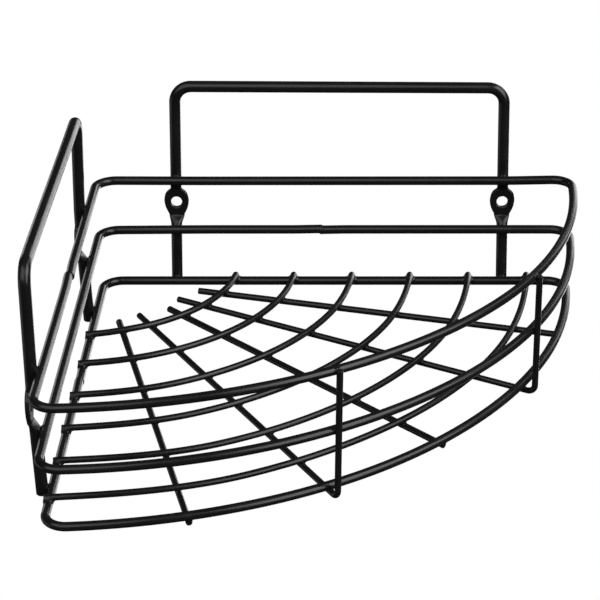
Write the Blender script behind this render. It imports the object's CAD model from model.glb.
"""Looks of the corner shower caddy: sixteen powder coated wires, swept, welded and coated.

Every wire is laid out from the wall corner in millimetres, as in the CAD model: the back wall is
y = 0, the side wall is x = 0, and z = 0 is the bottom rim's centre line. to_row() then moves it
to the row frame, in metres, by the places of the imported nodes. Where two wires cross, both are
drawn out into one smooth weld fillet.
"""

import math

import bmesh
import bpy
import numpy as np
from mathutils import Matrix, Vector

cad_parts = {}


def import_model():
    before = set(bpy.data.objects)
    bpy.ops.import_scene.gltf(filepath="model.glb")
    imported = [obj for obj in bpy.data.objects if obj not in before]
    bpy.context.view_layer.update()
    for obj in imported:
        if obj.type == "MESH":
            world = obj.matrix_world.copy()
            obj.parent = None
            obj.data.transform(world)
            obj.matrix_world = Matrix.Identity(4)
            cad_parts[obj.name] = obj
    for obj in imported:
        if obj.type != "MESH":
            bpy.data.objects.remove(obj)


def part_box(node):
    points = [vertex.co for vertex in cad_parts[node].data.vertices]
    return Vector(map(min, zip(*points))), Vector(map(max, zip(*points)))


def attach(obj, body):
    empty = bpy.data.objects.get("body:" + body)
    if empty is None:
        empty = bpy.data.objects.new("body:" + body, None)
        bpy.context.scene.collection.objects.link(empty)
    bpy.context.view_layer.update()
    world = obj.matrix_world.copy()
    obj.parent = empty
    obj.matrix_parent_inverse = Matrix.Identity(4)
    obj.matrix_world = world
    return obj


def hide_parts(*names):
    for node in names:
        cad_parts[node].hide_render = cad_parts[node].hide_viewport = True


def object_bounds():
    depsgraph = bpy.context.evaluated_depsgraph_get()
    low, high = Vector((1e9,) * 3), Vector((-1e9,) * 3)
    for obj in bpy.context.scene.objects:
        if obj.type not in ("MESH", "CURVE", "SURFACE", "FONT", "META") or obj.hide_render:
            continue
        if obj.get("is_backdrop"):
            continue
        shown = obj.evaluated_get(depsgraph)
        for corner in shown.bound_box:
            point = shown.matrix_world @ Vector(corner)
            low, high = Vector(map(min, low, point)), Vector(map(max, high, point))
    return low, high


MM = 0.001

# Wire diameters, and how deep crossing wires are sunk into each other
BRACKET_D = 5.0
RIM_D = 4.0
GRID_D = 3.0
WELD = 0.25

# Basket
REACH = 240.5
CORNER_R = 10.0
FRONT_R = 9.0
BOTTOM_CENTRE = -1.0
UPPER_CENTRE = 6.5

# Wall brackets
BACK_W = 160.0
SIDE_W = 163.0
SIDE_DROP = 2.0
SIDE_RISE = 2.0
SIDE_SHORT = 2.5
SIDE_LEAN = 1.2  # how far the side bracket's rear corner leans off the wall
BACK_TILT = -0.55  # how far the back bracket's bar rises to its right and falls to its left
LEG_SPLAY = 2.0
BRACKET_R = 8.0
LEG_KICK = 1.25
LEG_H = 104.0

# Screw eyelets: heights are measured from the hole's middle
HOLE_DROP = 60.5
HOLE_D = 6.0
EYE_T = 1.8
EYE_TOP = 7.2
EYE_BOTTOM = -7.0
RAMP_L = 4.8  # length of the ramps between the flat and the round wire
# Height and half width of the flat, from the neck over the shoulders to the waist
EYE_OUTLINE = [
    (7.2, 2.5),
    (6.6, 3.0),
    (5.6, 4.3),
    (4.0, 5.3),
    (0.5, 5.9),
    (-2.5, 5.45),
    (-4.8, 4.6),
    (-7.0, 3.6),
]
WAIST_SLOPE = 0.3  # share of the outline's first slope that it starts with at the waist
EYE_EDGE = 0.7  # how far the flat's edge is rounded inwards
HOLE_EDGE = 0.35

# Floor grid
ARC_COUNT = 6
ARC_END_FIRST, ARC_END_STEP = 74.2, 29.3
ARC_MID_FIRST, ARC_MID_STEP = 73.9, 28.6
ARC_OVERHANG = 2.0
ARC_SETTLE = 25.0  # bearing from a wall at which an arc has come down onto the spokes
ARC_SINK = 0.65  # the ends are pressed a little further into the rim than in the CAD model
# How far an arc sits further out than the even pitch, at bearings along it
UNEVEN_ARCS = {
    1: [(60, 0), (90, -0.9)],
    3: [(35, 0), (60, 0.6), (90, 1.4)],
    4: [(35, 0), (60, 0.6), (90, 2.2)],
    5: [(35, 0), (60, 0.4), (90, 0.4)],
    6: [(15, 0), (35, -0.6), (50, -1.1), (60, -0.8), (68, -0.45), (75, 0), (82, 0.7), (90, 0.8)],
}
SPOKE_INNER = [60, 57.5, 60.5, 56.5, 60.5]
SPOKE_START = [70.4, 59.5, 44.4, 34, 21.1]
SPOKE_END = [74.1, 59.3, 44.5, 29.2, 15]
STRUT_R = 3.5
STRUT_OVER = {2: 1.7, 4: 1.2}  # rise of the cut top over the top rim's centre line
STRUT_LEAN = {2: 1.0, 4: -0.8}  # how far the top stands to the right of the foot
STRUT_BEARING = 30.0  # of both struts, from the nearer wall

# Unevenness of the rims: rise of the back side, and rises at bearings along the front
UNEVEN_BOTTOM = (0.0, [(3, 0), (20, 0.1), (40, 0), (50, -0.25), (58, -0.25), (70, 0), (80, 0.2), (90, 0.3)])
UNEVEN_MIDDLE = (
    0.33,
    [(3, 0.35), (12, 0), (40, 0), (57, -0.2), (62, -0.4), (70, -0.55), (80, -0.65), (90, -0.7)],
)
UNEVEN_TOP = (-0.2, [(3, 0.3), (15, 0), (30, 0), (47, 0.25), (65, 0.45), (78, 0.3), (90, 0.2)])
FRONT_FROM = 0.85  # share of the reach past which a rim is its front
BACK_BLEND = 60.0  # stretch from the wall corner over which the back side's rise comes in

# Butt welds that close the rims: place along the rim, and how far its two ends miss each other
SEAM_TOP_Y = -119.0
SEAM_BOTTOM_Y = -117.0
SEAM_MIDDLE_X = 117.0
SEAM_MISS_BOTTOM = (-0.12, 0, 0.1)
SEAM_MISS_MIDDLE = (0, 0.1, 0.16)
SEAM_MISS_TOP = (-0.3, 0, 0.08)
SEAM_OVERLAP = 2.0
SEAM_BLEND = 14.0  # stretch over which an end drifts off the rim's line
SEAM_SWELL = 0.05  # share of the radius by which a butt weld is thicker
SEAM_SWELL_L = 1.5  # distance from the seam at which it has mostly thinned out again

# Cut ends: how far their edge is rounded, and the rings on their flat as shares of its radius
CUT_EDGE = 0.35
DOME_EDGE = 0.8  # share of the radius, on an end that is melted round
END_RINGS = (0.35, 0.75)
END_PUSH = 0.9  # how far welds and coat grow an end along the wire, and not outwards
FOOT_EDGE = 0.6  # height of a leg's first plain ring over its cut foot

# Fineness of the meshes: spacing of the rings, and of the points on a centre line
FINE = 0.3
PLAIN = 2.5
RING_TURN = 0.1  # radians that a wire turns between two rings
DENSE = 0.25
TIGHT = 0.1
FINE_AT_RIM = 5.0  # half the height of a leg's stretch of fine rings at a rim
RAMP_RINGS = 12
EYE_STEPS = 22
# Rings on a flat face, as shares of the way from its outline in to the hole
FACE_RINGS = (0.2, 0.45, 0.7, 0.87, 1)

# Search for crossings
COARSE = 6  # every how many points of a centre line it looks
COARSE_SLACK = 1.0
APART = 12.0  # distance along a wire that makes two crossings out of one
SPARE = 3.0  # what a stretch has beyond the points found
AT_ONCE = 2000  # points measured together
NEAR_END = 6  # radii within which a point past an end is measured from the end's flat

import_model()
cad_low, cad_high = (list(corner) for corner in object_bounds())


def middle(node, axis):
    low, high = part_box(node)
    return (low[axis] + high[axis]) / 2 / MM


WALL_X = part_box("side_bracket")[0].x / MM
BASE_Z = middle("bottom_rim", 2)
MIDDLE_Z = middle("middle_rim", 2) - BASE_Z
TOP_Z = middle("top_rim", 2) - BASE_Z
BAR_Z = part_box("back_bracket")[1].z / MM - BRACKET_D / 2 - BASE_Z
HOLE_Z = BAR_Z - HOLE_DROP
KICK_SLOPE = LEG_KICK / HOLE_Z
BACK_X = middle("back_bracket", 0) - WALL_X
SIDE_Y = middle("side_bracket", 1)

ARC_TOP_Z = RIM_D / 2 + GRID_D / 2 - WELD
SPOKE_FRONT_Z = -ARC_TOP_Z
SPOKE_BACK_Z = ARC_TOP_Z - GRID_D + WELD
SPOKE_SLOPE = (SPOKE_FRONT_Z - SPOKE_BACK_Z) / (REACH - ARC_MID_FIRST)
STRUT_TURN = math.cos(math.radians(STRUT_BEARING)) + math.sin(math.radians(STRUT_BEARING))
STRUT_RHO = REACH - UPPER_CENTRE + UPPER_CENTRE * STRUT_TURN + RIM_D / 2 + GRID_D / 2 - WELD


def to_row(points):
    return (np.asarray(points, float) + (WALL_X, 0, BASE_Z)) * MM


def kick(z):
    """How far a leg's back stands off the wall at a height."""
    return max(0.0, (HOLE_Z - z) * KICK_SLOPE)


def wall_gap(z):
    """Distance from a wall to a rim's centre line at a height."""
    return kick(z) + BRACKET_D + RIM_D / 2 - WELD


def unit(v):
    v = np.asarray(v, float)
    return v / np.linalg.norm(v)


def smooth(u):
    u = np.clip(u, 0, 1)
    return u * u * (3 - 2 * u)


def eased(at, table):
    """Values between (place, value) pairs, with the corners between the straight runs rounded."""
    places, values = zip(*table)
    return np.mean([np.interp(at + shift, places, values) for shift in np.linspace(-6, 6, 9)], axis=0)


def plan(rho, bearing, z):
    """A point at a distance from the wall corner and a bearing from the back wall, in degrees."""
    a = math.radians(bearing)
    return np.array([rho * math.cos(a), -rho * math.sin(a), z])


# ---------------------------------------------------------------- centre lines


def straight(a, b):
    a, b = np.asarray(a, float), np.asarray(b, float)
    n = max(2, int(np.linalg.norm(b - a) / DENSE))
    return a + (b - a) * np.linspace(0, 1, n + 1)[:, None]


def turn(centre, r, start, end, z):
    """Level bend about a centre, from one angle to another, in degrees."""
    spacing = DENSE if r > 4 * FRONT_R else TIGHT
    n = max(4, int(abs(math.radians(end - start)) * r / spacing))
    a = np.radians(np.linspace(start, end, n + 1))
    return np.stack([centre[0] + r * np.cos(a), centre[1] + r * np.sin(a), np.full(n + 1, z)], 1)


def joined(*runs):
    """Runs of points that follow each other, without the doubled points between them."""
    points = np.vstack(runs)
    keep = np.ones(len(points), bool)
    keep[1:] = np.linalg.norm(np.diff(points, axis=0), axis=1) > 1e-4
    return points[keep]


def bent(points, r):
    """Centre line through corner points, with a bend of radius r at each inner one."""
    points = [np.asarray(p, float) for p in points]
    runs, start = [], points[0]
    for a, b, c in zip(points, points[1:], points[2:]):
        u, v = unit(a - b), unit(c - b)
        half = math.acos(float(u @ v)) / 2
        centre = b + unit(u + v) * r / math.sin(half)
        first = b + u * r / math.tan(half)
        last = b + v * r / math.tan(half)
        sweep = math.pi - 2 * half
        x, y = unit(first - centre), unit(-u)
        angles = np.linspace(0, sweep, max(4, int(sweep * r / TIGHT)) + 1)
        bend = centre + r * (np.outer(np.cos(angles), x) + np.outer(np.sin(angles), y))
        runs += [straight(start, first), bend]
        start = last
    return joined(*runs, straight(start, points[-1]))


def rim_line(z, centre, seam_x=None, seam_y=None):
    """Closed rim, starting and ending at its butt weld on the back side or on the left side."""
    gap = wall_gap(z)
    arc_r = REACH - centre
    rise = gap + FRONT_R - centre
    run = math.sqrt((arc_r - FRONT_R) ** 2 - rise**2)
    lean = math.degrees(math.atan2(rise, run))
    far, near, inner = centre + run, gap + FRONT_R, gap + CORNER_R
    corner = turn((inner, -inner), CORNER_R, 180, 90, z)
    front = joined(
        turn((far, -near), FRONT_R, 90, -lean, z),
        turn((centre, -centre), arc_r, -lean, lean - 90, z),
        turn((near, -far), FRONT_R, 270 + lean, 180, z),
    )
    if seam_x is not None:
        seam = (seam_x, -gap, z)
        left = straight((gap, -far, z), (gap, -inner, z))
        return joined(straight(seam, (far, -gap, z)), front, left, corner, straight((inner, -gap, z), seam))
    seam = (gap, seam_y, z)
    back = straight((inner, -gap, z), (far, -gap, z))
    return joined(straight(seam, (gap, -inner, z)), corner, back, front, straight((gap, -far, z), seam))


def spoke_z(rho):
    """Height of a spoke's centre line at a distance from the wall corner."""
    return SPOKE_BACK_Z + SPOKE_SLOPE * (rho - ARC_MID_FIRST)


def arc_line(number):
    """Floor arc: its ends lie on top of the bottom rim's sides, its middle lies on the spokes."""
    end = ARC_END_FIRST + ARC_END_STEP * (number - 1)
    mid = ARC_MID_FIRST + ARC_MID_STEP * (number - 1)
    side = wall_gap(0)
    c = (end**2 + side**2 - mid**2) / (2 * (end + side - math.sqrt(2) * mid))
    r = mid - c * math.sqrt(2)
    first = math.degrees(math.asin((side - ARC_OVERHANG - c) / r))
    crossing = math.degrees(math.asin((side - c) / r))
    mid_z = spoke_z(mid) + GRID_D - WELD
    degrees = np.linspace(first, 90 - first, int(math.radians(90 - 2 * first) * r / DENSE))
    inward = np.minimum(degrees, 90 - degrees)
    drop = smooth((inward - crossing) / (ARC_SETTLE - crossing))
    a = np.radians(degrees)
    out = eased(degrees, UNEVEN_ARCS.get(number, [(0, 0)]))
    end_z = ARC_TOP_Z - ARC_SINK
    height = end_z + (mid_z - end_z) * drop
    return np.stack([c + r * np.cos(a), -c - r * np.sin(a) - out, height], 1)


def spoke_ends(number):
    """A spoke's inner end, and its point under the bottom rim's front."""
    i = number - 1
    inner = plan(SPOKE_INNER[i], SPOKE_START[i], spoke_z(SPOKE_INNER[i]))
    return inner, plan(REACH, SPOKE_END[i], SPOKE_FRONT_Z)


def strut_line(number):
    """Spoke that turns up in front of the rims and ends a little over the top one."""
    inner, front = spoke_ends(number)
    knee = front + unit(front - inner) * (STRUT_RHO - REACH)
    sideways = unit((-knee[1], knee[0], 0)) * STRUT_LEAN[number]
    top = knee + sideways + (0, 0, TOP_Z + STRUT_OVER[number] - knee[2])
    return bent([inner, knee, top], STRUT_R)


# ---------------------------------------------------------------- wires


class Wire:
    """A round wire along a centre line; level is a direction that its sweep keeps its angles from."""

    def __init__(self, node, line, d, level=(0, 0, 1), sides=32, ends=("cut", "cut"), phase=0.0, swell=0.0):
        self.node, self.line, self.r, self.sides, self.ends = node, line, d / 2, sides, ends
        self.level, self.phase, self.swell = np.asarray(level, float), phase, swell
        steps = np.linalg.norm(np.diff(line, axis=0), axis=1)
        self.along = np.concatenate([[0], np.cumsum(steps)])
        self.length = self.along[-1]
        tangents = np.gradient(line, self.along, axis=0)
        self.tangents = tangents / np.linalg.norm(tangents, axis=1)[:, None]

    def at(self, s):
        """Centre, tangent, side and up directions at distances along the wire."""
        centre = np.stack([np.interp(s, self.along, self.line[:, k]) for k in range(3)], 1)
        tangent = np.stack([np.interp(s, self.along, self.tangents[:, k]) for k in range(3)], 1)
        tangent /= np.linalg.norm(tangent, axis=1)[:, None]
        up = self.level - tangent * (tangent @ self.level)[:, None]
        up /= np.linalg.norm(up, axis=1)[:, None]
        return centre, tangent, np.cross(up, tangent), up

    def distance(self, points, lo, hi):
        """Distance of points from the wire's surface, looking only at one stretch of it."""
        i, j = np.searchsorted(self.along, [lo, hi])
        i, j = max(0, i - 2), min(len(self.line) - 1, j + 2)
        a, b = self.line[i:j], self.line[i + 1 : j + 1]
        ab = b - a
        best = np.full(len(points), np.inf)
        for k in range(0, len(points), AT_ONCE):
            p = points[k : k + AT_ONCE, None, :] - a[None]
            t = np.clip((p * ab).sum(2) / (ab * ab).sum(1), 0, 1)
            best[k : k + AT_ONCE] = np.sqrt((((p - t[..., None] * ab) ** 2).sum(2)).min(1))
        gap = best - self.r
        has_start, has_end = i == 0, j == len(self.line) - 1
        ends = ((0, -self.tangents[0], has_start), (-1, self.tangents[-1], has_end))
        for end, direction, in_reach in ends:
            past = (points - self.line[end]) @ direction
            beyond = (past > 0) & (best < self.r * NEAR_END)
            if in_reach and beyond.any():
                off = points[beyond] - self.line[end]
                across = np.linalg.norm(off - past[beyond, None] * direction, axis=1) - self.r
                gap[beyond] = np.where(across > 0, np.hypot(across, past[beyond]), past[beyond])
        return gap


def near(a, b, limit):
    """Whether the boxes around two centre lines come within a limit of each other."""
    a_reaches = np.all(a.line.min(0) - limit < b.line.max(0))
    b_reaches = np.all(b.line.min(0) - limit < a.line.max(0))
    return a_reaches and b_reaches


def crossings(wires, reach):
    """Stretches of each wire that pass close to another: {wire: [(lo, hi, other, other_lo, other_hi)]}."""
    found = {wire: [] for wire in wires}
    for n, wire in enumerate(wires):
        for other in wires[n + 1 :]:
            limit = wire.r + other.r + reach + COARSE_SLACK
            if not near(wire, other, limit):
                continue
            apart = wire.line[::COARSE][:, None] - other.line[::COARSE][None]
            hits = np.argwhere(np.sqrt((apart**2).sum(2)) < limit)
            if not len(hits):
                continue
            s, t = wire.along[::COARSE][hits[:, 0]], other.along[::COARSE][hits[:, 1]]
            order = np.argsort(s)
            s, t = s[order], t[order]
            for part in np.split(np.arange(len(s)), np.flatnonzero(np.diff(s) > APART) + 1):
                here = (s[part].min() - SPARE, s[part].max() + SPARE)
                there = (t[part].min() - SPARE, t[part].max() + SPARE)
                found[wire].append((*here, other, *there))
                found[other].append((*there, wire, *here))
    return found


def stations(wire, close, spare):
    """Distances along a wire at which it gets a ring: close together at welds and in bends."""
    tightness = np.linalg.norm(np.gradient(wire.tangents, wire.along, axis=0), axis=1)
    grid = np.arange(0, wire.length, FINE)
    step = np.clip(RING_TURN / np.maximum(np.interp(grid, wire.along, tightness), 1e-6), FINE, PLAIN)
    for lo, hi, *_ in close.get(wire, []):
        step[(grid > lo) & (grid < hi)] = FINE
    if wire.swell:
        step[(grid < SEAM_BLEND / 3) | (grid > wire.length - SEAM_BLEND / 3)] = FINE
    out, s = [], spare[0]
    while s < wire.length - spare[1] - FINE / 2:
        out.append(s)
        i = min(int(s / FINE), len(grid) - 1)
        ahead = step[i : i + max(1, int(step[i] / FINE))]
        s += float(ahead.min())
    return np.array(out + [wire.length - spare[1]])


def end_profile(kind, r):
    """(distance from the tip, share of the radius) of the rings that round off an end, tip first."""
    edge = {"cut": CUT_EDGE, "dome": DOME_EDGE * r}[kind]
    flat = 1 - edge / r
    rings = [(0, flat * share) for share in END_RINGS]
    for a in np.radians([90, 60, 30, 12]):
        rings.append((edge * (1 - math.sin(a)), 1 - edge / r * (1 - math.cos(a))))
    return rings


class Skin:
    """Vertices and faces that grow ring by ring; ways are the directions in which a weld pushes them."""

    def __init__(self):
        self.points, self.ways, self.faces, self.count = [], [], [], 0

    def add(self, points, ways):
        self.points.append(np.asarray(points, float))
        self.ways.append(np.asarray(ways, float))
        self.count += len(points)
        return np.arange(self.count - len(points), self.count)

    def bridge(self, a, b):
        """Quads between two closed rings of the same size."""
        for k in range(len(a)):
            m = (k + 1) % len(a)
            self.faces.append((a[k], a[m], b[m], b[k]))

    def cap(self, ring, centre, way, flip):
        """Fan of triangles from a ring to one point."""
        tip = self.add([centre], [way])[0]
        for k in range(len(ring)):
            pair = (ring[k], ring[(k + 1) % len(ring)])
            self.faces.append((tip, *pair[::-1]) if not flip else (tip, *pair))


def wire_rings(skin, wire, where, shares=None, pushes=None):
    """Rings of a wire at distances along it; shares scale the radius, pushes tilt the weld direction."""
    centre, tangent, side, up = wire.at(where)
    a = wire.phase + np.linspace(0, 2 * math.pi, wire.sides, endpoint=False)
    rings = []
    for i in range(len(where)):
        out = np.cos(a)[:, None] * side[i] + np.sin(a)[:, None] * up[i]
        share = 1 if shares is None else shares[i]
        ways = out if pushes is None else out * (1 - abs(pushes[i])) + tangent[i] * pushes[i]
        ways = ways / np.linalg.norm(ways, axis=1)[:, None]
        rings.append(skin.add(centre[i] + out * wire.r * share, ways))
    return rings


def sweep(wire, close):
    """The whole skin of a plain wire with its two ends."""
    skin = Skin()
    profiles = [end_profile(kind, wire.r) for kind in wire.ends]
    head = np.array(profiles[0])
    tail = np.array(profiles[1])[::-1]
    body = stations(wire, close, (head[-1, 0] + FINE, tail[0, 0] + FINE))
    where = np.concatenate([head[:, 0], body, wire.length - tail[:, 0]])
    shares = np.concatenate([head[:, 1], np.ones(len(body)), tail[:, 1]])
    from_seam = np.minimum(where, wire.length - where)
    shares = shares * (1 + wire.swell * np.exp(-((from_seam / SEAM_SWELL_L) ** 2)))
    lean = np.linspace(1, 0, len(head))
    pushes = np.concatenate([-lean, np.zeros(len(body)), lean[::-1]]) * END_PUSH
    rings = wire_rings(skin, wire, where, shares, pushes)
    for a, b in zip(rings, rings[1:]):
        skin.bridge(a, b)
    centre, tangent, _, _ = wire.at(np.array([0, wire.length]))
    skin.cap(rings[0], centre[0], -tangent[0], False)
    skin.cap(rings[-1], centre[1], tangent[1], True)
    return skin


# ---------------------------------------------------------------- brackets


def smooth_curve(x, y, at):
    """Curve through points that keeps their rises and falls."""
    slopes = np.diff(y) / np.diff(x)
    m = np.zeros(len(x))
    for i in range(1, len(x) - 1):
        if slopes[i - 1] * slopes[i] > 0:
            m[i] = 2 / (1 / slopes[i - 1] + 1 / slopes[i])
    m[0], m[-1] = slopes[0] * WAIST_SLOPE, slopes[-1]
    i = min(max(int(np.searchsorted(x, at)) - 1, 0), len(x) - 2)
    h = x[i + 1] - x[i]
    t = (at - x[i]) / h
    level = y[i] * (1 + 2 * t) * (1 - t) ** 2 + y[i + 1] * t * t * (3 - 2 * t)
    return level + m[i] * h * t * (1 - t) ** 2 + m[i + 1] * h * t * t * (t - 1)


def outline_half_width(z):
    heights, widths = np.array(EYE_OUTLINE[::-1]).T
    return float(smooth_curve(heights, widths, z))


SIDES = 40  # points of a bracket's ring
FRONT_HALF = 7  # ring points from the middle of the flat's front to its edge
EDGE_STEPS = SIDES // 2 - 2 * FRONT_HALF


def flat_section(half):
    """Ring points (across, out of the wall) of the flattened wire, from the middle of its front."""
    face = half - EYE_EDGE
    front = [(face * k / FRONT_HALF, EYE_T) for k in range(FRONT_HALF)]
    angles = np.radians(90 - 180 * np.arange(EDGE_STEPS + 1) / EDGE_STEPS)
    edge = [(face + EYE_EDGE * math.cos(a), EYE_T / 2 * (1 + math.sin(a))) for a in angles]
    back = [(face * k / FRONT_HALF, 0) for k in range(FRONT_HALF - 1, 0, -1)]
    right = front + edge + back
    left = [(-x, y) for x, y in right[:0:-1]]
    return np.array(right + [(0, 0)] + left)


def ramp_rise(u):
    """Climb from the flat to the round wire: an even slope at first, then it eases off."""
    return 1.5 * u if u < 1 / 3 else 1 - 1.125 * (1 - u) ** 2


def ramp_draw(u):
    """How far a ramp's outline has drawn in from the flat's to the round wire's."""
    return smooth(1.25 * u - 0.25 * u * u)


def round_section(depth):
    """Ring points of the round wire, with its middle at a distance from the wall."""
    a = np.linspace(0, 2 * math.pi, SIDES, endpoint=False)
    return np.stack([np.sin(a) * BRACKET_D / 2, depth + np.cos(a) * BRACKET_D / 2], 1)


class Leg:
    """A bracket's left leg in its own frame: x across, y out of the wall, z up from the screw hole."""

    def __init__(self, foot, top):
        self.foot, self.top = foot, top
        self.skin = Skin()

    def centre(self, z):
        """Across and out of the wall: the leg splays outwards, and kicks off the wall below the eye."""
        return np.array([LEG_SPLAY / 100 * z, BRACKET_D / 2 + max(0.0, -z * KICK_SLOPE)])

    def ring(self, section, z):
        points = np.column_stack([section, np.full(SIDES, z)])
        ways = points - np.append(section.mean(0), z)
        return self.skin.add(points, ways / np.linalg.norm(ways, axis=1)[:, None])

    def round_rings(self, heights, shares=None):
        rings = []
        for i, z in enumerate(heights):
            across, depth = self.centre(z)
            section = round_section(0) * (1 if shares is None else shares[i]) + (across, depth)
            rings.append(self.ring(section, z))
        return rings

    def ramp(self, flat_z, half, way):
        """Rings from the end of the flat to the round wire; way is 1 upwards, -1 downwards."""
        rings = []
        flat = flat_section(half)
        for u in np.linspace(0, 1, RAMP_RINGS):
            z = flat_z + way * RAMP_L * u
            across, depth = self.centre(z)
            full = round_section(depth) + (across, 0)
            share = np.array([ramp_draw(u), ramp_rise(u)])
            rings.append(self.ring(flat * (1 - share) + full * share, z))
        return rings

    def eye(self, low, high):
        """The flat with its screw hole, between the ring at its waist and the ring at its neck."""
        skin = self.skin
        on_edge = slice(FRONT_HALF, FRONT_HALF + EDGE_STEPS + 1)
        edges = []
        for z in EYE_BOTTOM + (EYE_TOP - EYE_BOTTOM) * np.linspace(0, 1, EYE_STEPS + 2)[1:-1]:
            half = outline_half_width(z)
            section = flat_section(half)[on_edge]
            points = np.column_stack([section, np.full(EDGE_STEPS + 1, z)])
            ways = points - (half - EYE_EDGE, EYE_T / 2, z)
            edges.append(skin.add(points, ways / np.linalg.norm(ways, axis=1)[:, None]))
        mirrored = []
        for ids in edges:
            points = np.vstack(skin.points)[ids] * (-1, 1, 1)
            ways = np.vstack(skin.ways)[ids] * (-1, 1, 1)
            mirrored.append(skin.add(points, ways))
        right = [low[on_edge]] + edges + [high[on_edge]]
        other_edge = SIDES - np.arange(SIDES)[on_edge]
        left = [low[other_edge]] + mirrored + [high[other_edge]]
        for a, b in zip(right, right[1:]):
            for k in range(EDGE_STEPS):
                skin.faces.append((a[k], a[k + 1], b[k + 1], b[k]))
        for a, b in zip(left, left[1:]):
            for k in range(EDGE_STEPS):
                skin.faces.append((a[k + 1], a[k], b[k], b[k + 1]))
        across = np.arange(-FRONT_HALF, FRONT_HALF + 1)
        front = self.around(low, high, across % SIDES, right, left, 0)
        back = self.around(low, high, SIDES // 2 - across, right, left, -1)
        front_hole, towards = self.face(front, EYE_T, 1)
        back_hole, _ = self.face(back, 0, -1)
        self.hole_wall(front_hole, back_hole, towards)

    def around(self, low, high, across, right, left, edge):
        """The boundary of one flat face: along the neck, down one edge, along the waist, up the other."""
        down = [ids[edge] for ids in right[-2:0:-1]]
        up = [ids[edge] for ids in left[1:-1]]
        return np.concatenate([high[across], down, low[across[::-1]], up])

    def face(self, boundary, depth, way):
        """Flat face from its boundary in to the hole; returns the hole's ring, and the ways to its points."""
        skin = self.skin
        outer = np.vstack(skin.points)[boundary]
        flat = outer[:, [0, 2]]
        reach = np.linalg.norm(flat, axis=1)
        towards = flat / reach[:, None]
        rings = [boundary]
        inner_r = HOLE_D / 2 + HOLE_EDGE
        for share in FACE_RINGS:
            r = reach + (inner_r - reach) * share
            spot = towards * r[:, None]
            points = np.column_stack([spot[:, 0], np.full(len(spot), depth), spot[:, 1]])
            rings.append(skin.add(points, np.tile((0, way, 0), (len(spot), 1))))
        for a, b in zip(rings, rings[1:]):
            pair = (a, b) if way < 0 else (b, a)
            skin.bridge(*pair)
        return rings[-1], towards

    def hole_wall(self, front, back, towards):
        """The hole's wall between its front and back rings, with both of its edges rounded."""
        skin = self.skin
        quarter = np.radians([30, 60, 90])
        edge = [(1 - math.sin(a), HOLE_EDGE * (1 - math.cos(a))) for a in quarter]
        offsets = [(out, EYE_T - depth) for out, depth in edge] + edge[::-1]
        ways = np.column_stack([-towards[:, 0], np.zeros(len(towards)), -towards[:, 1]])
        rings = [front]
        for out, depth in offsets:
            spot = towards * (HOLE_D / 2 + HOLE_EDGE * out)
            points = np.column_stack([spot[:, 0], np.full(len(spot), depth), spot[:, 1]])
            rings.append(skin.add(points, ways))
        for a, b in zip(rings, rings[1:] + [back]):
            skin.bridge(b, a)

    def build(self, fine):
        """The leg from its cut foot up to its top; returns its uppermost ring."""
        profile = end_profile("cut", BRACKET_D / 2)
        low_end, high_end = EYE_BOTTOM - RAMP_L, EYE_TOP + RAMP_L
        lower = [self.foot + s for s, _ in profile] + spaced(self.foot + FOOT_EDGE, low_end, fine)[:-1]
        shares = [k for _, k in profile] + [1] * (len(lower) - len(profile))
        rings = self.round_rings(lower, shares)
        foot = rings[0]
        rings += self.ramp(EYE_BOTTOM, outline_half_width(EYE_BOTTOM), -1)[::-1]
        neck = self.ramp(EYE_TOP, outline_half_width(EYE_TOP), 1)
        self.eye(rings[-1], neck[0])
        neck += self.round_rings(spaced(high_end, self.top, fine)[1:])
        for run in (rings, neck):
            for a, b in zip(run, run[1:]):
                self.skin.bridge(a, b)
        across, depth = self.centre(self.foot)
        self.skin.cap(foot, (across, depth, self.foot), (0, 0, -1), False)
        return neck[-1]


def spaced(a, b, fine):
    """Heights from a to b: close together inside the stretches in fine, and wider elsewhere."""
    out = [a]
    while out[-1] < b:
        z = out[-1]
        close = any(lo - PLAIN < z < hi for lo, hi in fine)
        out.append(z + (FINE if close else PLAIN))
    return out[:-1] + [b] if b - out[-2] > FINE / 2 else out[:-2] + [b]


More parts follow.
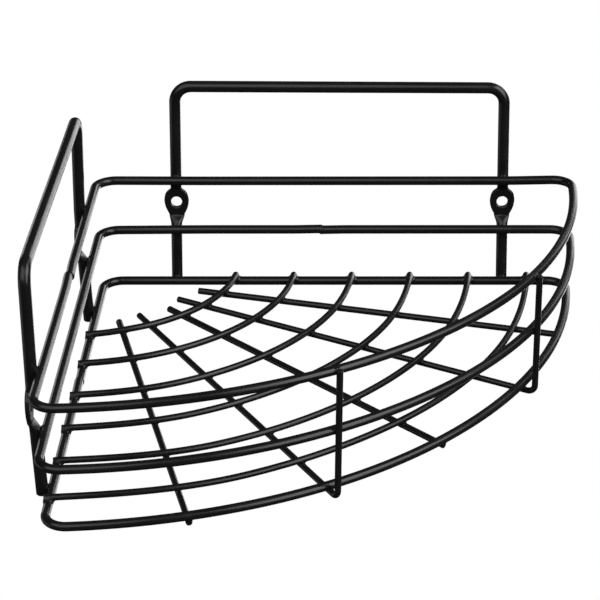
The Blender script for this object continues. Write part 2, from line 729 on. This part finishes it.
class Bracket(Wire):
    """A bracket, laid out against the plane y = 0 and centred on x = 0; turned() moves it to its wall."""

    def __init__(self, node, w, top, turned, rise=0.0, short=0.0, lean=0.0, tilt=0.0):
        self.eye_z, self.turned, self.lean, self.tilt, self.top = top - HOLE_DROP, turned, lean, tilt, top
        self.feet = [top - LEG_H + short, top - LEG_H]
        self.leg_top = top - BRACKET_R - 1
        depth = -BRACKET_D / 2

        def half(z):
            return w / 2 + LEG_SPLAY * (top - z) / 100

        self.half_eye = half(self.eye_z)
        corners = [(-w / 2, depth, top), (w / 2, depth, top + rise)]
        left_top, right_top = [(side * half(self.leg_top), depth, self.leg_top) for side in (-1, 1)]
        self.hoop = bent([left_top, *corners, right_top], BRACKET_R)
        legs = []
        for side, foot_z in zip((-1, 1), self.feet):
            foot = (side * half(foot_z), depth - (self.eye_z - foot_z) * KICK_SLOPE, foot_z)
            eye = (side * self.half_eye, depth, self.eye_z)
            legs.append((foot, eye))
        (left_foot, left_eye), (right_foot, right_eye) = legs
        left = joined(straight(left_foot, left_eye), straight(left_eye, self.hoop[0]))
        right = joined(straight(self.hoop[-1], right_eye), straight(right_eye, right_foot))
        super().__init__(node, turned(joined(left, self.hoop, right)), BRACKET_D, sides=SIDES)

    def leaned(self, points):
        """The bar is a little out of level, and its right end stands a little off the wall."""
        x, y, z = points.T
        height = np.clip((z - TOP_Z) / (self.top - TOP_Z), 0, 2)
        share = smooth((x + self.half_eye) / (2 * self.half_eye)) * height
        return np.stack([x, y - self.lean * share, z + self.tilt * x / self.half_eye * height], 1)

    def skin_of(self):
        """Both legs with their eyelets, and the hoop between them, in the corner's frame."""
        rims = [z - self.eye_z for z in (0, MIDDLE_Z, TOP_Z)]
        fine = [(z - FINE_AT_RIM, z + FINE_AT_RIM) for z in rims]
        skin, tops = Skin(), []
        for side, foot in zip((-1, 1), self.feet):
            leg = Leg(foot - self.eye_z, self.leg_top - self.eye_z)
            first = skin.count
            tops.append(leg.build(fine) + first)
            mirror, place = (-side, -1, 1), (side * self.half_eye, 0, self.eye_z)
            skin.add(np.vstack(leg.skin.points) * mirror + place, np.vstack(leg.skin.ways) * mirror)
            skin.faces += [tuple(first + i for i in face) for face in leg.skin.faces]
        hoop = Wire(self.node, self.hoop, BRACKET_D, level=(0, -1, 0), sides=SIDES, phase=math.pi / 2)
        rings = wire_rings(skin, hoop, stations(hoop, {}, (FINE, FINE)))
        for a, b in zip([tops[0]] + rings, rings + [tops[1]]):
            skin.bridge(a, b)
        whole = Skin()
        ways = self.turned(np.vstack(skin.ways), move=False)
        whole.add(self.turned(self.leaned(np.vstack(skin.points))), ways)
        whole.faces = skin.faces
        return whole


def on_back_wall(points, move=True):
    return np.asarray(points) + (np.array([BACK_X, 0, 0]) if move else 0)


def on_side_wall(points, move=True):
    points = np.asarray(points)
    turned = np.stack([-points[:, 1], points[:, 0], points[:, 2]], 1)
    return turned + (np.array([0, SIDE_Y, 0]) if move else 0)


# ---------------------------------------------------------------- welds

FILLET_ON_RIM = 1.9  # floor wires on the bottom rim
FILLET_ON_STRUT = 0.8  # the rims on the front struts
FILLET = 1.3
REACH_OF_WELD = 2.2
WELD_WOBBLE = 0.16  # share by which a fillet is fuller or thinner than the even one
HALVINGS = 9


def fillet(a, b):
    """Size of the weld between two wires."""
    names = (a.node, b.node)
    if "bottom_rim" in names and any(name.startswith("floor_arc") for name in names):
        return FILLET_ON_RIM
    if any(name.endswith("_rim") for name in names) and any(name.startswith("strut") for name in names):
        return FILLET_ON_STRUT
    return FILLET


def wobble(points):
    """Slow, shallow unevenness of hand-set welds, from -1.5 to 1.5."""
    x, y, z = points.T
    slow = np.sin(1.7 * x + 0.6 * z + 1) * np.sin(1.3 * y + 0.4 * x)
    return slow + 0.5 * np.sin(2.9 * z + 1.1 * x - 0.7 * y)


def welded(points, ways, wire, close):
    """Pushes the skin out to the smooth union with each wire that crosses it; returns how much."""
    push = np.zeros(len(points))
    share = np.zeros(len(points))
    for _, _, other, lo, hi in close.get(wire, []):
        k = fillet(wire, other)
        i, j = np.searchsorted(other.along, [lo, hi])
        part = other.line[max(0, i - 1) : j + 1]
        margin = other.r + k
        inside = np.all((points > part.min(0) - margin) & (points < part.max(0) + margin), axis=1)
        picked = np.flatnonzero(inside)
        if not len(picked):
            continue
        gap = other.distance(points[picked], lo, hi)
        picked = picked[gap < k]
        if not len(picked):
            continue
        low, high = np.zeros(len(picked)), np.full(len(picked), k / 4)
        for _ in range(HALVINGS):
            t = (low + high) / 2
            d = other.distance(points[picked] + ways[picked] * t[:, None], lo, hi)
            blend = np.minimum(t, d) - np.maximum(k - abs(t - d), 0) ** 2 / (4 * k)
            low, high = np.where(blend < 0, t, low), np.where(blend < 0, high, t)
        grown = low * (1 + WELD_WOBBLE * wobble(points[picked]))
        push[picked] = np.maximum(push[picked], grown)
        share[picked] = np.maximum(share[picked], low / (k / 4))
    return points + ways * push[:, None], share


def missed(line, miss):
    """A closed rim's line whose two ends miss each other at the butt weld and run a little together."""
    steps = np.concatenate([[0], np.cumsum(np.linalg.norm(np.diff(line, axis=0), axis=1))])
    miss = np.asarray(miss, float)
    ahead = smooth(1 - steps / SEAM_BLEND)[:, None] * miss
    behind = smooth(1 - (steps[-1] - steps) / SEAM_BLEND)[:, None] * miss
    line = line - ahead + behind
    tail = line[-1] + unit(line[-1] - line[-8]) * SEAM_OVERLAP
    return joined(line, straight(line[-1], tail))


def uneven(line, back, front):
    """A rim's line with its small rises and falls: on its back side, and by the bearing at its front."""
    x, y = line[:, 0], -line[:, 1]
    far = smooth((np.hypot(x, y) / REACH - FRONT_FROM) / (1 - FRONT_FROM))
    at_back = back * smooth((x - y) / BACK_BLEND)
    at_front = eased(np.degrees(np.arctan2(y, x)), front)
    return line + np.outer(at_back * (1 - far) + at_front * far, (0, 0, 1))


def rim(node, line, rises, miss):
    line = missed(uneven(line, *rises), miss)
    return Wire(node, line, RIM_D, sides=40, ends=("cut", "dome"), swell=SEAM_SWELL)


def spoke(number):
    """A straight spoke, or one that carries on as a front strut."""
    if number not in STRUT_OVER:
        return Wire(f"floor_spoke_{number}", straight(*spoke_ends(number)), GRID_D)
    line = strut_line(number)
    across = np.cross(unit(line[-1] - line[0]), (0, 0, 1))
    return Wire(f"strut_spoke_{number}", line, GRID_D, level=unit(across))


def all_wires():
    bottom = rim_line(0, BOTTOM_CENTRE, seam_y=SEAM_BOTTOM_Y)
    middle_line = rim_line(MIDDLE_Z, UPPER_CENTRE, seam_x=SEAM_MIDDLE_X)
    top = rim_line(TOP_Z, UPPER_CENTRE, seam_y=SEAM_TOP_Y)
    side = {"rise": SIDE_RISE, "short": SIDE_SHORT, "lean": SIDE_LEAN}
    return [
        rim("bottom_rim", bottom, UNEVEN_BOTTOM, SEAM_MISS_BOTTOM),
        rim("middle_rim", middle_line, UNEVEN_MIDDLE, SEAM_MISS_MIDDLE),
        rim("top_rim", top, UNEVEN_TOP, SEAM_MISS_TOP),
        Bracket("back_bracket", BACK_W, BAR_Z, on_back_wall, tilt=BACK_TILT),
        Bracket("side_bracket", SIDE_W, BAR_Z - SIDE_DROP, on_side_wall, **side),
        *(Wire(f"floor_arc_{number}", arc_line(number), GRID_D) for number in range(1, ARC_COUNT + 1)),
        *(spoke(number) for number in range(1, len(SPOKE_INNER) + 1)),
    ]


# ---------------------------------------------------------------- material

# What the coat adds to a wire's radius over the CAD model's, at the front tip and at the back wall
COAT_T = {"bracket": (0.05, 0.27), "rim": (-0.07, 0.19), "floor": (-0.1, 0.12), "strut": (-0.12, 0.0)}
COAT_DEEP = (0.008, 0.008, 0.0081)
COAT_PALE = (0.0145, 0.0145, 0.0147)
ROUGH_LOW, ROUGH_HIGH = 0.2, 0.27
ROUGHER_WELD = 0.05
# Grain of the coat, in waves per metre: drift of its gloss, orange peel, fine grain, and the welds' skin
DRIFT_SCALE, PEEL_SCALE, GRAIN_SCALE, WELD_SCALE = 55, 950, 5200, 1500
BUMP_STRENGTH, BUMP_DEPTH = 0.5, 0.000012


def coat_material():
    """Satin black powder coat: orange peel, a slow drift of gloss, and a livelier skin on the welds."""
    material = bpy.data.materials.new("black_powder_coat")
    material.use_nodes = True
    nodes, links = material.node_tree.nodes, material.node_tree.links
    shader = nodes["Principled BSDF"]
    shader.inputs["IOR"].default_value = 1.5
    place = nodes.new("ShaderNodeTexCoord").outputs["Object"]

    def noise(scale_per_m, detail, roughness=0.5):
        node = nodes.new("ShaderNodeTexNoise")
        node.inputs["Scale"].default_value = scale_per_m
        node.inputs["Detail"].default_value = detail
        node.inputs["Roughness"].default_value = roughness
        links.new(place, node.inputs["Vector"])
        return node.outputs["Fac"]

    def spread(value, low, high, to_low, to_high):
        node = nodes.new("ShaderNodeMapRange")
        node.inputs["From Min"].default_value = low
        node.inputs["From Max"].default_value = high
        node.inputs["To Min"].default_value = to_low
        node.inputs["To Max"].default_value = to_high
        links.new(value, node.inputs["Value"])
        return node.outputs["Result"]

    def combined(kind, a, b):
        node = nodes.new("ShaderNodeMath")
        node.operation = kind
        for socket, value in zip(node.inputs, (a, b)):
            if isinstance(value, float):
                socket.default_value = value
            else:
                links.new(value, socket)
        return node.outputs["Value"]

    weld = nodes.new("ShaderNodeAttribute")
    weld.attribute_name = "weld"
    weld = weld.outputs["Fac"]
    drift, peel, grain = noise(DRIFT_SCALE, 3), noise(PEEL_SCALE, 2), noise(GRAIN_SCALE, 3, 0.6)

    tint = nodes.new("ShaderNodeMix")
    tint.data_type = "RGBA"
    tint.inputs["A"].default_value = (*COAT_DEEP, 1)
    tint.inputs["B"].default_value = (*COAT_PALE, 1)
    mottle = combined("ADD", drift, combined("MULTIPLY", grain, 0.5))
    links.new(spread(mottle, 0.5, 1.0, 0.0, 1.0), tint.inputs["Factor"])
    links.new(tint.outputs["Result"], shader.inputs["Base Color"])

    satin = spread(drift, 0.3, 0.7, ROUGH_LOW, ROUGH_HIGH)
    satin = combined("ADD", satin, combined("MULTIPLY", weld, ROUGHER_WELD))
    links.new(satin, shader.inputs["Roughness"])

    height = combined("ADD", peel, combined("MULTIPLY", grain, 0.1))
    on_weld = combined("MULTIPLY", noise(WELD_SCALE, 2), weld)
    height = combined("ADD", height, combined("MULTIPLY", on_weld, 1.5))
    bump = nodes.new("ShaderNodeBump")
    bump.inputs["Strength"].default_value = BUMP_STRENGTH
    bump.inputs["Distance"].default_value = BUMP_DEPTH
    links.new(height, bump.inputs["Height"])
    links.new(bump.outputs["Normal"], shader.inputs["Normal"])
    return material


def outward(mesh):
    """Turns all faces of a closed mesh the same way, outwards."""
    work = bmesh.new()
    work.from_mesh(mesh)
    bmesh.ops.recalc_face_normals(work, faces=work.faces)
    work.to_mesh(mesh)
    work.free()


def piece(wire, points, faces, share, material):
    """The wire's object, in place of its CAD node; share says how much of a point is weld."""
    mesh = bpy.data.meshes.new(wire.node + "_wire")
    mesh.from_pydata(to_row(points).tolist(), [], [tuple(int(i) for i in face) for face in faces])
    weld = mesh.attributes.new("weld", "FLOAT", "POINT")
    weld.data.foreach_set("value", share.astype(np.float32))
    outward(mesh)
    mesh.polygons.foreach_set("use_smooth", np.ones(len(mesh.polygons), bool))
    mesh.materials.append(material)
    thing = bpy.data.objects.new(wire.node + "_wire", mesh)
    bpy.context.scene.collection.objects.link(thing)
    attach(thing, "root")
    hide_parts(wire.node)


def build_caddy():
    material = coat_material()
    wires = all_wires()
    close = crossings(wires, REACH_OF_WELD)
    for wire in wires:
        skin = wire.skin_of() if isinstance(wire, Bracket) else sweep(wire, close)
        points, share = welded(np.vstack(skin.points), np.vstack(skin.ways), wire, close)
        thickness = next(t for kind, t in COAT_T.items() if kind in wire.node)
        grown = np.interp(points[:, 1], (-REACH, 0), thickness)
        points = points + np.vstack(skin.ways) * grown[:, None]
        piece(wire, points, skin.faces, share, material)


# ---------------------------------------------------------------- stage, lights, camera


FLOOR_HALF = 6.0
FLOOR_DROP = 0.25  # how far the floor lies below the caddy
WORLD_GREY = 0.03


def white_floor(half, z):
    """Plain pale floor: it shows pure white, and takes no part in the light on the object."""
    mesh = bpy.data.meshes.new("floor")
    corners = [(-half, -half, z), (half, -half, z), (half, half, z), (-half, half, z)]
    mesh.from_pydata(corners, [], [(0, 1, 2, 3)])
    material = bpy.data.materials.new("floor_white")
    material.use_nodes = True
    shader = material.node_tree.nodes["Principled BSDF"]
    shader.inputs["Base Color"].default_value = (0, 0, 0, 1)
    shader.inputs["Specular IOR Level"].default_value = 0
    shader.inputs["Emission Color"].default_value = (1, 1, 1, 1)
    shader.inputs["Emission Strength"].default_value = 1.0
    mesh.materials.append(material)
    thing = bpy.data.objects.new("floor", mesh)
    bpy.context.scene.collection.objects.link(thing)
    thing.visible_glossy = thing.visible_diffuse = thing.visible_shadow = False
    thing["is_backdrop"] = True


# Softboxes: bearing (0 is straight away from the camera, 90 is to the right), height, width and
# tallness in degrees as the object sees them, and radiance
LIGHTS = {
    "key_right": (98, 37, 36, 42, 3.0),
    "key_side": (129, 25, 30, 50, 2.8),
    "front_left": (-148, 40, 76, 52, 1.15),
    "front": (178, 46, 20, 50, 0.35),
    "bridge_high": (59, 35, 13, 20, 1.5),
    "bridge_low": (44, 11, 9, 24, 1.8),
    "sweep_right": (22, -5, 23, 46, 2.4),
    "sweep_low": (12, -30, 22, 20, 0.7),
    "sweep_left": (-33, 0, 14, 24, 1.2),
    "fill_left": (-80, -14, 70, 26, 0.35),
}
LIGHT_DISTANCE = 2.2
LIGHT_TARGET = (0, -0.12, 0)


def softbox(name, bearing, height, width, tall, radiance):
    """Area light that fills the given angles as seen from the caddy, and that the camera doesn't see."""
    a, e = math.radians(bearing), math.radians(height)
    ahead = Vector((math.sin(a) * math.cos(e), math.cos(a) * math.cos(e), math.sin(e)))
    light = bpy.data.lights.new(name, "AREA")
    light.shape = "RECTANGLE"
    light.size = 2 * LIGHT_DISTANCE * math.tan(math.radians(width / 2)) * math.cos(e)
    light.size_y = 2 * LIGHT_DISTANCE * math.tan(math.radians(tall / 2))
    light.energy = radiance * math.pi * light.size * light.size_y
    thing = bpy.data.objects.new(name, light)
    bpy.context.scene.collection.objects.link(thing)
    thing.location = Vector(LIGHT_TARGET) + ahead * LIGHT_DISTANCE
    thing.rotation_euler = (-ahead).to_track_quat("-Z", "Y").to_euler()
    thing.visible_camera = False


def world(grey):
    """Faint even light from all around."""
    scene = bpy.context.scene
    scene.world = bpy.data.worlds.new("studio")
    scene.world.use_nodes = True
    background = scene.world.node_tree.nodes["Background"]
    background.inputs["Color"].default_value = (grey, grey, grey, 1)
    background.inputs["Strength"].default_value = 1.0


CAMERA_PLACE = (-0.0017145, -0.8971026, 0.3759059)
CAMERA_DOWN, CAMERA_YAW, CAMERA_ROLL = 0.44792, -0.02035, 0.00847  # radians
CAMERA_LENS = 116.62


def camera():
    """Looks along +Y, turned by the yaw, tilted down and rolled."""
    data = bpy.data.cameras.new("camera")
    data.sensor_width, data.lens, data.clip_start = 36, CAMERA_LENS, 0.01
    thing = bpy.data.objects.new("camera", data)
    bpy.context.scene.collection.objects.link(thing)
    right = Vector((math.cos(CAMERA_YAW), -math.sin(CAMERA_YAW), 0))
    level = Vector((math.sin(CAMERA_YAW), math.cos(CAMERA_YAW), 0))
    ahead = level * math.cos(CAMERA_DOWN) - Vector((0, 0, math.sin(CAMERA_DOWN)))
    up = right.cross(ahead)
    x = right * math.cos(CAMERA_ROLL) - up * math.sin(CAMERA_ROLL)
    y = right * math.sin(CAMERA_ROLL) + up * math.cos(CAMERA_ROLL)
    thing.matrix_world = Matrix.Translation(CAMERA_PLACE) @ Matrix((x, y, -ahead)).transposed().to_4x4()
    bpy.context.scene.camera = thing


camera()
bpy.context.scene.view_settings.view_transform = "Standard"
build_caddy()
white_floor(FLOOR_HALF, cad_low[2] - FLOOR_DROP)
world(WORLD_GREY)
for name, light in LIGHTS.items():
    softbox(name, *light)
